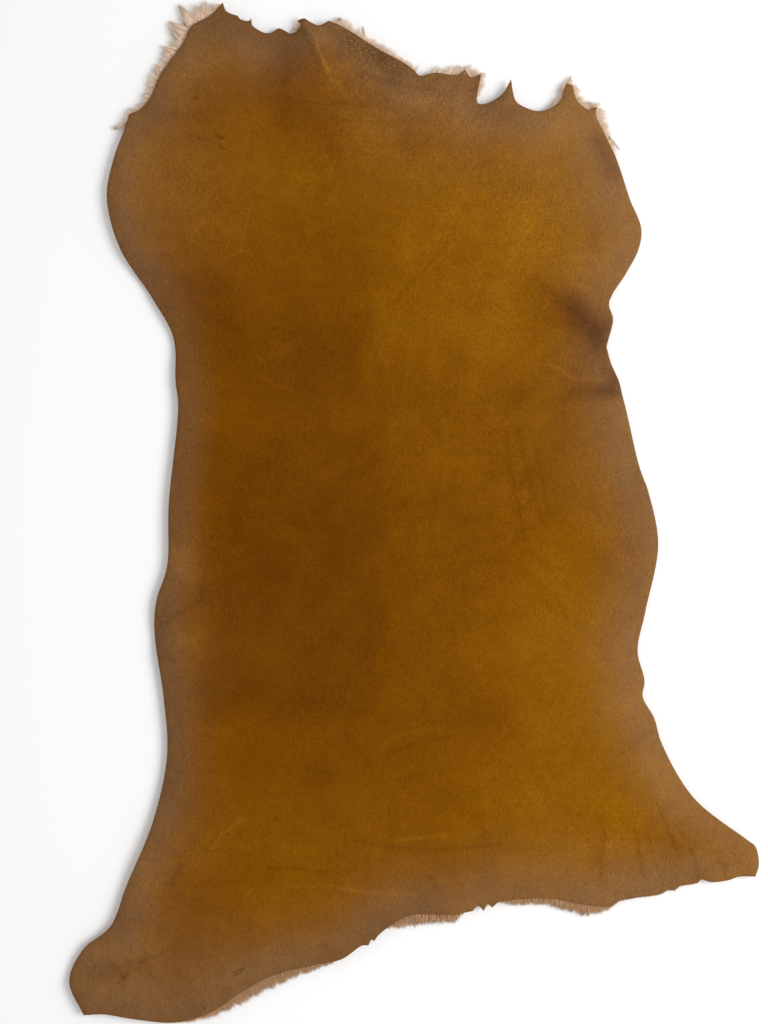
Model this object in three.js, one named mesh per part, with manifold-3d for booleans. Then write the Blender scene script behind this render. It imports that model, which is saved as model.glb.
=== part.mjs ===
// A shearling sheepskin: one tanned skin with its wool still on, lying wool down with the suede side up.
// Units are millimetres, +Z is up and +Y runs from the hind legs to the neck.
// The origin is at the middle of the base, on the surface that the wool rests on.
import * as THREE from "three";
import { mergeVertices } from "three/addons/utils/BufferGeometryUtils.js";
import Module from "manifold-3d";

const wasm = await Module();
wasm.setup();

// Driving sizes
const SKIN_THICKNESS = 1.5;
const PILE_HEIGHT = 14; // wool under the skin, as the skin's own weight leaves it
const PIECE_GAP = 0.3; // between the skin and the wool, so that the two solids don't overlap
const EDGE_DROOP = 4; // how far the skin turns down at its cut edge
const EDGE_DROOP_WIDTH = 28;
const HOLDING_FRINGE = 10; // wool showing past the edge by this much halves the droop
const WOOL_RIM_LIFT = 4; // how far the underside of the wool rounds up at the edge
const WOOL_RIM_WIDTH = 26;
const OUTLINE_STEP = 17; // longest side of the outline's facets
const OVER_SKIN = 60; // a height well over the skin, for the solids that cut or are cut

// The slight waves that are left in a stretched and dried skin
const WAVES = { height: 0.9, across: 61, along: 97, bend: 83 };

// The wool's lumps: pressed is the share of each that lies flat on the surface, from -1 for all to 1 for none.
const LUMPS = { groove: 3, across: 27, along: 33, bend: 1.4, bendLength: 50, pressed: 0.1 };

// The skin's cut edge, clockwise from the left hock. A bend is a smooth point and a tip is a sharp one.
// fringe is how far the wool shows past the edge there.
const bend = (x, y, fringe = 0) => ({ x, y, fringe, sharp: false });
const tip = (x, y, fringe = 0) => ({ x, y, fringe, sharp: true });
const OUTLINE = [
  {
    name: "left hind leg",
    points: [tip(-384, 9), bend(-401, 49), bend(-384, 86), bend(-353, 112), bend(-334, 160), bend(-304, 232)],
  },
  {
    name: "left hip",
    points: [bend(-287, 311), bend(-291, 378), bend(-302, 457), bend(-299, 492), bend(-287, 530)],
  },
  {
    name: "left flank",
    points: [bend(-285, 602), bend(-274, 718), bend(-277, 744), bend(-280, 797)],
  },
  {
    name: "left shoulder",
    points: [bend(-304, 842), bend(-342, 901), bend(-357, 960), bend(-349, 1005), bend(-337, 1038)],
  },
  {
    name: "left shoulder fringe",
    points: [
      tip(-331, 1056, 8), bend(-318, 1062, 8), bend(-306, 1076, 10),
      bend(-295, 1101, 13), bend(-268, 1139, 18), bend(-258, 1158, 27),
    ],
  },
  {
    name: "left neck corner",
    points: [bend(-237, 1170, 19), tip(-222, 1184, 2)],
  },
  {
    name: "neck, left of the fold",
    points: [
      bend(-219, 1177), tip(-190, 1167), bend(-184, 1158), bend(-173, 1151), bend(-158, 1157), bend(-143, 1151),
    ],
  },
  {
    name: "neck fold",
    points: [bend(-136, 1154, 8), tip(-128, 1165), bend(-111, 1160), tip(-99, 1165)],
  },
  {
    name: "neck, right of the fold",
    points: [bend(-74, 1152, 13), bend(-39, 1130, 10), bend(-23, 1122, 7), bend(-2, 1109, 5), bend(7, 1101)],
  },
  {
    name: "neck tab",
    points: [bend(23, 1104, 6), bend(52, 1102, 10), tip(59, 1108, 8), bend(67, 1099, 10), tip(78, 1103, 7)],
  },
  {
    name: "notch",
    points: [bend(74, 1070), bend(81, 1068), bend(102, 1079), tip(113, 1097)],
  },
  {
    name: "bay",
    points: [bend(115, 1083), bend(119, 1071), bend(130, 1064), bend(146, 1060)],
  },
  {
    name: "right tab",
    points: [
      bend(168, 1069, 6), tip(177, 1092, 4), tip(184, 1090, 9), bend(190, 1071, 9),
      bend(204, 1061, 9), tip(213, 1065, 8), bend(211, 1056, 10),
    ],
  },
  {
    name: "right shoulder",
    points: [bend(220, 1036, 10), bend(238, 999), bend(251, 957), bend(264, 923), bend(261, 899)],
  },
  {
    name: "right armpit",
    points: [bend(247, 872), bend(227, 837), bend(232, 818), tip(224, 786)],
  },
  {
    name: "right flank",
    points: [
      bend(245, 711), bend(262, 647), bend(273, 616), bend(284, 556), bend(269, 478), bend(260, 432),
    ],
  },
  {
    name: "right thigh",
    points: [bend(268, 398), bend(266, 379), bend(279, 355), bend(288, 325), bend(325, 262)],
  },
  {
    name: "right hind leg",
    points: [bend(387, 213), bend(397, 205), bend(401, 184), tip(397, 170)],
  },
  {
    name: "right hem",
    points: [bend(367, 167), bend(328, 164, 2), bend(288, 150, 2), bend(238, 142, 3), bend(229, 136, 3)],
  },
  {
    name: "rump, right of the tail",
    points: [bend(204, 137, 12), bend(158, 145, 8), bend(111, 143, 7)],
  },
  {
    name: "tail",
    points: [bend(95, 138), tip(81, 132), bend(66, 131)],
  },
  {
    name: "rump, left of the tail",
    points: [bend(48, 126, 8), bend(-2, 126, 12), bend(-19, 119, 10)],
  },
  {
    name: "left thigh",
    points: [bend(-32, 110), tip(-52, 92), bend(-84, 74)],
  },
  {
    name: "left hem",
    points: [bend(-115, 68, 5), bend(-165, 55, 9), bend(-202, 35, 12), bend(-234, 14, 6)],
  },
  {
    name: "left hock",
    points: [bend(-276, 1), bend(-329, 5), bend(-360, 10)],
  },
];

// Soft folds of the skin. Each is highest or deepest at its start and dies away towards its end.
// height is above the skin around it, so a trough has a negative one, and width is from its crest to its foot.
const FOLD_FALL = 2; // how steeply a fold's height falls off towards its foot
const FOLDS = [
  { name: "neck ridge", from: [-124, 1168], to: [-78, 1040], height: 9, width: 13 },
  { name: "trough beside the neck ridge", from: [-150, 1150], to: [-125, 1015], height: -4, width: 26 },
  { name: "swell right of the neck ridge", from: [-72, 1140], to: [-20, 1040], height: 3, width: 36 },
  { name: "trough at the notch", from: [66, 1100], to: [60, 1020], height: -3, width: 18 },
  { name: "right shoulder trough", from: [240, 992], to: [150, 1010], height: -4, width: 26 },
  { name: "right foreleg swell", from: [250, 930], to: [170, 880], height: 3, width: 34 },
  { name: "right armpit trough", from: [231, 805], to: [120, 885], height: -7, width: 24 },
  { name: "right flank trough", from: [241, 735], to: [120, 745], height: -4, width: 22 },
  { name: "left armpit trough", from: [-318, 860], to: [-190, 850], height: -4, width: 30 },
  { name: "left waist trough", from: [-281, 790], to: [-200, 770], height: -3, width: 28 },
  { name: "left hip trough", from: [-300, 450], to: [-200, 440], height: -3, width: 26 },
  { name: "left hock trough", from: [-392, 60], to: [-240, 110], height: -4, width: 24 },
  { name: "left thigh swell", from: [-320, 190], to: [-200, 330], height: 3, width: 40 },
  { name: "rump swell", from: [-40, 128], to: [-230, 190], height: 2, width: 26 },
  { name: "right thigh trough", from: [286, 152], to: [240, 330], height: -3, width: 26 },
  { name: "right thigh swell", from: [345, 172], to: [300, 300], height: 2, width: 24 },
];

// The sheet is a quilt of cells, smaller about the neck's ridge.
const COLUMNS = gridLines([
  { to: -420, step: 0 },
  { to: -150, step: 34 },
  { to: -78, step: 12 },
  { to: 420, step: 36 },
]);
const ROWS = gridLines([
  { to: -16, step: 0 },
  { to: 1040, step: 37 },
  { to: 1200, step: 23 },
]);

// Locks of wool around the rim. root is how far inside the edge a lock starts, and room is what it needs there.
// every is how many places along the edge there are for one lock.
const LOCK_SPACING = 8;
const LOCKS = {
  showing: { every: 1, root: 9, room: 3, radius: 5.5, segments: 2 }, // where the wool shows past the edge
  hidden: { every: 4, root: 14, room: 9, radius: 7, segments: 1 }, // where the skin covers it
};
const LEAST_FRINGE = 2; // wool that shows less than this counts as hidden
const LOCK_TIP_RADIUS = 1.2;
const LOCK_LIFT = 4.5; // height of a lock's root above the surface
const LOCK_CLEARANCE = 0.2; // height of a lock's tip above the surface
const LOCK_FLATNESS = 0.7;
const LOCK_SPREAD = 0.55; // radians between the directions of neighbouring locks, at most
const LOCK_BEND = 5; // how far a lock's tip swings sideways, from one side to the other

// Single long locks that lie across the others, from their root to their tip.
const STRAY_LOCKS = [
  { name: "below the left shoulder", from: [-325, 1052], to: [-348, 1041], radius: 4, segments: 2 },
  { name: "left neck corner", from: [-250, 1150], to: [-284, 1166], radius: 5, segments: 2 },
];

function gridLines(spans) {
  const lines = [spans[0].to];
  for (const { to, step } of spans.slice(1)) {
    const start = lines.at(-1);
    const count = Math.round((to - start) / step);
    for (let i = 1; i <= count; i++) lines.push(start + ((to - start) * i) / count);
  }
  return lines;
}

// A repeatable number from 0 to 1 for the nth lock, one series for each seed.
function scatter(n, seed) {
  const value = Math.sin(n * 12.9898 + seed * 78.233) * 43758.5453;
  return value - Math.floor(value);
}

const smooth = (t) => t * t * (3 - 2 * t);

// The outline as short facets, each point with the wool's fringe there.
function traceOutline() {
  const knots = OUTLINE.flatMap(({ points }) => points);
  const traced = [];
  let run = [knots[0]];
  for (let i = 1; i <= knots.length; i++) {
    const knot = knots[i % knots.length];
    run.push(knot);
    if (knot.sharp) {
      traced.push(...traceRun(run));
      run = [knot];
    }
  }
  return traced;
}

// The smooth curve from one sharp point to the next, without its last point.
function traceRun(knots) {
  const curve = new THREE.CatmullRomCurve3(
    knots.map(({ x, y }) => new THREE.Vector3(x, y, 0)),
    false,
    "centripetal",
  );
  const spans = knots.length - 1;
  return knots.slice(0, -1).flatMap((knot, i) => {
    const next = knots[i + 1];
    const steps = Math.ceil(Math.hypot(next.x - knot.x, next.y - knot.y) / OUTLINE_STEP);
    return Array.from({ length: steps }, (_, k) => {
      const { x, y } = curve.getPoint((i + k / steps) / spans);
      return { x, y, fringe: THREE.MathUtils.lerp(knot.fringe, next.fringe, k / steps) };
    });
  });
}

const edge = traceOutline();

// The distance to the cut edge, and the fringe at the nearest point of it.
function nearestEdge(x, y) {
  let best = { distance: Infinity, fringe: 0 };
  edge.forEach((a, i) => {
    const b = edge[(i + 1) % edge.length];
    const distance = Math.hypot(...awayFrom(x, y, [a.x, a.y], [b.x, b.y]).offset);
    if (distance < best.distance) best = { distance, fringe: a.fringe };
  });
  return best;
}

// Whether a point is within the cut edge: a line from it crosses the edge an odd number of times.
function isInside(x, y) {
  return edge.reduce((inside, a, i) => {
    const b = edge[(i + 1) % edge.length];
    const crosses = a.y > y !== b.y > y && x < a.x + ((b.x - a.x) * (y - a.y)) / (b.y - a.y);
    return crosses ? !inside : inside;
  }, false);
}

// How far a point is along a line from 0 to 1, and its offset from the line.
function awayFrom(x, y, from, to) {
  const [dx, dy] = [to[0] - from[0], to[1] - from[1]];
  const along = ((x - from[0]) * dx + (y - from[1]) * dy) / (dx * dx + dy * dy);
  const share = THREE.MathUtils.clamp(along, 0, 1);
  return { share, offset: [x - from[0] - dx * share, y - from[1] - dy * share] };
}

function foldHeight(x, y) {
  return FOLDS.reduce((sum, { from, to, height, width }) => {
    const { share, offset } = awayFrom(x, y, from, to);
    const distance = Math.hypot(...offset) / width;
    return sum + height * (1 - smooth(share)) * Math.exp(-FOLD_FALL * distance * distance);
  }, 0);
}

function waveHeight(x, y) {
  return WAVES.height * Math.sin(x / WAVES.across + Math.sin(y / WAVES.bend)) * Math.cos(y / WAVES.along);
}

function skinTop(x, y) {
  const { distance, fringe } = nearestEdge(x, y);
  const turn = Math.max(0, 1 - distance / EDGE_DROOP_WIDTH);
  const droop = (EDGE_DROOP * turn * turn) / (1 + fringe / HOLDING_FRINGE);
  return PILE_HEIGHT + PIECE_GAP + SKIN_THICKNESS + foldHeight(x, y) + waveHeight(x, y) - droop;
}
const skinUnderside = (x, y) => skinTop(x, y) - SKIN_THICKNESS;
const woolTop = (x, y) => skinUnderside(x, y) - PIECE_GAP;

// The wool's underside: lumps that are pressed flat where they touch the surface, with grooves between them.
function woolUnderside(x, y) {
  const across = Math.sin(x / LUMPS.across + LUMPS.bend * Math.sin(y / LUMPS.bendLength));
  const along = Math.sin(y / LUMPS.along + LUMPS.bend * Math.sin(x / LUMPS.bendLength));
  const groove = LUMPS.groove * Math.max(0, LUMPS.pressed - across * along);
  const rim = Math.max(0, 1 - nearestEdge(x, y).distance / WOOL_RIM_WIDTH);
  return groove + WOOL_RIM_LIFT * rim * rim;
}

// A three.js geometry as a solid that can be joined and cut.
function solidOf(geometry) {
  const bare = geometry.clone();
  bare.deleteAttribute("normal");
  bare.deleteAttribute("uv");
  const merged = mergeVertices(bare, 1e-4);
  return new wasm.Manifold(
    new wasm.Mesh({
      numProp: 3,
      vertProperties: new Float32Array(merged.getAttribute("position").array),
      triVerts: new Uint32Array(merged.index.array),
    }),
  );
}

function geometryOf(solid) {
  const { vertProperties, triVerts } = solid.getMesh();
  const geometry = new THREE.BufferGeometry();
  geometry.setAttribute("position", new THREE.BufferAttribute(vertProperties, 3));
  geometry.setIndex(new THREE.BufferAttribute(triVerts, 1));
  geometry.computeVertexNormals();
  return geometry;
}

// The space between two height functions, over the whole grid.
function quilt(top, bottom) {
  const across = COLUMNS.length - 1;
  const along = ROWS.length - 1;
  const box = new THREE.BoxGeometry(across, along, 1, across, along, 1);
  const position = box.getAttribute("position");
  for (let i = 0; i < position.count; i++) {
    const x = COLUMNS[Math.round(position.getX(i) + across / 2)];
    const y = ROWS[Math.round(position.getY(i) + along / 2)];
    const height = position.getZ(i) > 0 ? top : bottom;
    position.setXYZ(i, x, y, height(x, y));
  }
  return solidOf(box);
}

// The outline as a straight column, from well under the surface to well over the skin.
function outlineCut() {
  const shape = new THREE.Shape(edge.map(({ x, y }) => new THREE.Vector2(x, y)));
  const cut = new THREE.ExtrudeGeometry(shape, { depth: 4 * OVER_SKIN, bevelEnabled: false });
  return solidOf(cut.translate(0, 0, -2 * OVER_SKIN));
}

// One lock of wool: a tapered strand of three sides, flat side down, that comes down to rest level on the surface.
function lock([x, y], angle, length, curl, { radius, segments }) {
  const strand = new THREE.CylinderGeometry(LOCK_TIP_RADIUS, radius, length, 3, segments);
  const position = strand.getAttribute("position");
  const [dx, dy] = [Math.cos(angle), Math.sin(angle)];
  for (let i = 0; i < position.count; i++) {
    const share = position.getY(i) / length + 0.5;
    const straight = THREE.MathUtils.lerp(radius, LOCK_TIP_RADIUS, share);
    const girth = THREE.MathUtils.lerp(radius, LOCK_TIP_RADIUS, share * share);
    const across = (-position.getX(i) * girth) / straight + curl * share * share;
    const up = LOCK_FLATNESS * ((position.getZ(i) * girth) / straight + girth / 2);
    const lift = LOCK_LIFT * (1 - share) * (1 - share) + LOCK_CLEARANCE;
    const along = share * length;
    position.setXYZ(i, x + dx * along - dy * across, y + dy * along + dx * across, lift + up);
  }
  return solidOf(strand);
}

// Evenly spaced points along the cut edge, each with the direction that points outwards.
function rimPoints() {
  const points = [];
  let wait = 0;
  edge.forEach((a, i) => {
    const b = edge[(i + 1) % edge.length];
    const length = Math.hypot(b.x - a.x, b.y - a.y);
    const outward = Math.atan2(b.x - a.x, a.y - b.y);
    for (; wait < length; wait += LOCK_SPACING) {
      const share = wait / length;
      const [x, y] = [THREE.MathUtils.lerp(a.x, b.x, share), THREE.MathUtils.lerp(a.y, b.y, share)];
      points.push({ x, y, outward, fringe: THREE.MathUtils.lerp(a.fringe, b.fringe, share) });
    }
    wait -= length;
  });
  return points;
}

// The locks around the rim. One that would come out at the far side of a narrow tab is left out.
function rimLocks() {
  return rimPoints().flatMap(({ x, y, outward, fringe }, n) => {
    const shows = fringe > LEAST_FRINGE;
    const kind = shows ? LOCKS.showing : LOCKS.hidden;
    const angle = outward + LOCK_SPREAD * (scatter(n, 3) - 0.5);
    const root = [x - Math.cos(angle) * kind.root, y - Math.sin(angle) * kind.root];
    if (n % kind.every > 0 || !isInside(...root) || nearestEdge(...root).distance < kind.room) return [];
    const reach = shows ? fringe * (0.75 + 0.5 * scatter(n, 1)) : -3 * scatter(n, 2);
    return [lock(root, angle, kind.root + reach, LOCK_BEND * (scatter(n, 4) - 0.5), kind)];
  });
}

function strayLocks() {
  return STRAY_LOCKS.map((stray) => {
    const [dx, dy] = [stray.to[0] - stray.from[0], stray.to[1] - stray.from[1]];
    return lock(stray.from, Math.atan2(dy, dx), Math.hypot(dx, dy), 0, stray);
  });
}

// Both faces are the tops of quilts, so they have the same facets and are as far apart in every cell.
function buildSkin() {
  const spaceUnderSkin = quilt(skinUnderside, () => -2 * OVER_SKIN);
  return quilt(skinTop, () => -OVER_SKIN).subtract(spaceUnderSkin).intersect(outlineCut());
}

// The pile is built up through the skin and cut back to stay clear of it, so that their faces run side by side.
function buildFleece() {
  const spaceForWool = quilt(woolTop, () => -2 * OVER_SKIN);
  const pile = quilt(() => OVER_SKIN, woolUnderside).intersect(outlineCut());
  return [...rimLocks(), ...strayLocks()]
    .reduce((joined, strand) => joined.add(strand), pile)
    .intersect(spaceForWool);
}

const suede = new THREE.MeshStandardMaterial({ color: 0x83530f, roughness: 0.85, metalness: 0 });
const wool = new THREE.MeshStandardMaterial({ color: 0xd8bca4, roughness: 1, metalness: 0 });

function piece(name, solid, material) {
  const mesh = new THREE.Mesh(geometryOf(solid), material);
  mesh.name = name;
  return mesh;
}

const sheepskin = new THREE.Group();
sheepskin.add(piece("skin", buildSkin(), suede), piece("fleece", buildFleece(), wool));

// The origin goes to the middle of the base.
const box = new THREE.Box3().setFromObject(sheepskin);
const middle = box.getCenter(new THREE.Vector3());
sheepskin.position.set(-middle.x, -middle.y, -box.min.z);

export default sheepskin;
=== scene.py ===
"""Looks of the shearling sheepskin: suede side up, wool beneath it and showing around parts of its edge."""
import math

import bpy
import numpy as np
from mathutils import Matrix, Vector, noise
from mathutils.geometry import delaunay_2d_cdt


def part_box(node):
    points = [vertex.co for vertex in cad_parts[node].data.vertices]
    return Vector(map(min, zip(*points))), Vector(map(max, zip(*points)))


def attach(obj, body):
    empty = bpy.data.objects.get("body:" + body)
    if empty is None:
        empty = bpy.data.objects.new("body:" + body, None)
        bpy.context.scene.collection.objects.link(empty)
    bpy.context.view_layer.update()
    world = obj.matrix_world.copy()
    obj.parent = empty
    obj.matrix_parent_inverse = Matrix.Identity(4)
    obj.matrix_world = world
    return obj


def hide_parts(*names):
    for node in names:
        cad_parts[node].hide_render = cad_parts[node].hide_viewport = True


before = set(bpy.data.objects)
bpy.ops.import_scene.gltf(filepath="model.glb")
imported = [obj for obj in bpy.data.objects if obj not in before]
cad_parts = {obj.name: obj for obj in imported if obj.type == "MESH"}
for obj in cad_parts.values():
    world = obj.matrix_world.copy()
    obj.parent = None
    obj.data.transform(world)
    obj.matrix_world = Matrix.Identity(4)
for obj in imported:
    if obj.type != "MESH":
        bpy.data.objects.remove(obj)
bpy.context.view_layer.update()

# Tables and sizes are in millimetres, with Y from the hind legs to the neck. Meshes are in metres.
MM = 0.001
SKIN_THICKNESS = 1.5
PILE_HEIGHT = 14
PIECE_GAP = 0.3
EDGE_DROOP = 4
EDGE_DROOP_WIDTH = 28
HOLDING_FRINGE = 10
WAVES = {"height": 0.9, "across": 61, "along": 97, "bend": 83}
FOLD_FALL = 2

# Distances between the points of the skin's mesh
EDGE_STEP = 3
EDGE_ROUNDING = 0.6
TOP_SPACING = 4
DETAIL_SPACING = 1.4
DETAIL_REACH = 4.5  # how far from a crease or a mark the fine points go
UNDER_SPACING = 9
UNEVEN = [(0.35, 45, 3), (0.15, 17, 4)]  # bumps of the suede: height, size, seed
PAINTED_CUT_SHADE = 0.8  # brightness of the cut edge's rounding and sides: painted shade

# The studio
FLOOR = {"size": 6, "colour": (0.98, 0.98, 0.98, 1)}
KEY_LIGHT = {"place": (2, -0.05, 2.4), "size": 1.9, "power": 62}
WORLD_STRENGTH = 0.63
LENS = 70

# The photograph's frame
PHOTO_SIZE = (768, 1024)
MM_PER_PIXEL = 1.16
PHOTO_ORIGIN = (414, 1024)  # the pixel at the tables' zero

# The cut edge, clockwise from the left hock: x, y, how far the wool shows past the edge, or 0 if left out,
# and whether it is a sharp point, or False.
OUTLINE = [
    # left hind leg
    (-384, 9, 0, True), (-401, 49), (-384, 86), (-353, 112), (-334, 160), (-304, 232),
    # left hip
    (-287, 311), (-291, 378), (-302, 457), (-299, 492), (-287, 530),
    # left flank
    (-285, 602), (-274, 718), (-277, 744), (-280, 797),
    # left shoulder
    (-304, 842), (-342, 901), (-357, 960), (-349, 1005), (-337, 1038),
    # left shoulder fringe
    (-331, 1056, 6, True), (-318, 1062, 6), (-306, 1076, 9), (-295, 1101, 11), (-268, 1139, 15),
    (-258, 1158, 24),
    # left neck corner
    (-237, 1170, 18), (-222, 1186, 2, True),
    # neck, left of the fold
    (-219, 1177), (-212, 1173), (-205, 1171, 0, True), (-202, 1167), (-192, 1165), (-189, 1168, 0, True),
    (-188, 1160), (-180, 1154), (-173, 1151), (-165, 1152), (-158, 1157), (-151, 1155), (-144, 1151),
    # neck fold
    (-137, 1153, 6), (-131, 1160, 8), (-136, 1165, 2, True), (-127, 1166), (-121, 1162), (-111, 1159),
    (-99, 1165, 0, True),
    # neck, right of the fold
    (-86, 1159, 10), (-74, 1152, 7), (-39, 1130, 8), (-23, 1122, 6), (-2, 1109, 5), (7, 1101),
    # neck tab
    (23, 1104, 6), (52, 1102, 10), (59, 1108, 8, True), (67, 1099, 10), (78, 1103, 7, True),
    # notch
    (74, 1070), (81, 1068), (102, 1079), (113, 1097, 0, True),
    # bay
    (115, 1083), (119, 1071), (130, 1064), (146, 1060),
    # right tab
    (168, 1069, 6), (177, 1092, 4, True), (184, 1090, 9, True), (190, 1071, 9), (204, 1061, 9),
    (213, 1065, 8, True), (211, 1056, 10),
    # right shoulder
    (220, 1036, 10), (238, 999), (251, 957), (264, 923), (261, 899),
    # right armpit
    (247, 872), (227, 837), (232, 818), (224, 786, 0, True),
    # right flank
    (229, 767), (239, 745), (243, 729), (249, 703), (262, 647), (273, 616), (284, 556), (269, 478),
    (260, 432),
    # right thigh
    (268, 398), (266, 379), (279, 355), (288, 325), (325, 262),
    # right hind leg
    (387, 213), (397, 205), (401, 184), (397, 170, 0, True),
    # right hem
    (378, 170), (366, 166), (344, 164), (334, 167), (330, 163, 2, True), (320, 161, 2), (309, 159, 2),
    (303, 154, 2, True), (297, 155, 2), (288, 150, 2), (260, 146, 2), (238, 142, 3), (229, 136, 3),
    # rump, right of the tail
    (204, 137, 12), (158, 145, 8), (111, 143, 7),
    # tail
    (98, 140), (91, 134, 0, True), (86, 138), (81, 130, 0, True), (75, 136), (68, 130, 0, True),
    (58, 128),
    # rump, left of the tail
    (48, 126, 8), (-2, 126, 12), (-19, 119, 10),
    # left thigh
    (-32, 110), (-43, 100), (-46, 95, 0, True), (-49, 97), (-53, 90, 0, True), (-60, 90), (-84, 74),
    # left hem
    (-115, 68, 7), (-165, 55, 12), (-202, 35, 11), (-234, 14, 7),
    # left hock
    (-276, 1, 2), (-329, 5), (-360, 10),
]

# The folds of the solids: from, to, height at the start, width
FOLDS = [
    ((-124, 1168), (-78, 1040), 9, 13),  # neck ridge
    ((-150, 1150), (-125, 1015), -4, 26),  # trough beside the neck ridge
    ((-72, 1140), (-20, 1040), 3, 36),  # swell right of the neck ridge
    ((66, 1100), (60, 1020), -3, 18),  # trough at the notch
    ((240, 992), (150, 1010), -4, 26),  # right shoulder trough
    ((250, 930), (170, 880), 3, 34),  # right foreleg swell
    ((231, 805), (120, 885), -7, 24),  # right armpit trough
    ((241, 735), (120, 745), -4, 22),  # right flank trough
    ((-318, 860), (-190, 850), -4, 30),  # left armpit trough
    ((-281, 790), (-200, 770), -3, 28),  # left waist trough
    ((-300, 450), (-200, 440), -3, 26),  # left hip trough
    ((-392, 60), (-240, 110), -4, 24),  # left hock trough
    ((-320, 190), (-200, 330), 3, 40),  # left thigh swell
    ((-40, 128), (-230, 190), 2, 26),  # rump swell
    ((286, 152), (240, 330), -3, 26),  # right thigh trough
    ((345, 172), (300, 300), 2, 24),  # right thigh swell
]

# Thin creases that the solids don't have: points that each one runs through, height, width
CREASES = [
    # arc on the left shoulder
    ([(-190, 950), (-202, 898), (-232, 880)], 0.45, 3),
    # long line over the withers
    ([(61, 953), (36, 904), (1, 863), (-28, 834)], -0.3, 3),
    # foot of the neck ridge
    ([(-128, 1160), (-114, 1130), (-96, 1096), (-74, 1072)], 0.35, 5),
    # wrinkles right of the neck ridge
    ([(-110, 1068), (-50, 1066), (0, 1060)], -0.3, 4), ([(-90, 1050), (-20, 1046), (40, 1050)], -0.25, 4),
    ([(-60, 1102), (-10, 1088), (35, 1082)], -0.4, 4),
    # arc below the left shoulder
    ([(-180, 752), (-161, 740), (-142, 736)], 0.5, 3),
    # two lines across the right waist
    ([(157, 765), (187, 748), (222, 748)], 0.6, 4), ([(180, 735), (232, 735)], -0.5, 5),
    # wrinkles on the right flank
    ([(105, 680), (118, 610), (128, 560)], -0.35, 4), ([(120, 690), (136, 620), (150, 580)], -0.35, 4),
    ([(140, 670), (150, 620), (156, 590)], -0.3, 4), ([(163, 498), (177, 469)], -0.4, 4),
    # left waist
    ([(-242, 530), (-248, 492), (-294, 463)], -0.4, 4),
    # arcs over the loin
    ([(-34, 327), (-5, 339), (30, 345)], 0.4, 4), ([(-28, 315), (10, 328), (38, 332)], -0.3, 4),
    # lines over the left hip
    ([(-170, 298), (-132, 298), (-97, 289)], -0.25, 3), ([(-173, 266), (-132, 266)], -0.25, 3),
    # lines over the rump
    ([(-74, 213), (-28, 205), (19, 202), (100, 208)], -0.4, 3), ([(-22, 213), (36, 219)], 0.6, 3),
    ([(-167, 182), (-132, 179), (-92, 176)], -0.4, 3),
    ([(-150, 159), (-97, 161), (-63, 153), (1, 150)], 0.5, 3),
    # line above the left hind leg
    ([(-202, 236), (-225, 219), (-236, 202)], 0.5, 3),
    # left hock and thigh
    ([(-380, 51), (-370, 68)], -0.4, 3), ([(-303, 50), (-318, 84)], -0.3, 6),
    ([(-336, 52), (-352, 68)], -0.3, 5), ([(-283, 161), (-271, 184)], -0.6, 4),
    # wrinkles on the right thigh
    ([(216, 240), (222, 219), (217, 190), (216, 163)], -0.35, 4),
    ([(256, 228), (262, 196), (267, 165)], -0.5, 4), ([(282, 258), (297, 219), (304, 202)], -0.4, 4),
    ([(320, 204), (327, 188), (329, 167)], -0.6, 4), ([(352, 190), (361, 184), (362, 170)], -0.5, 4),
]
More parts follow.
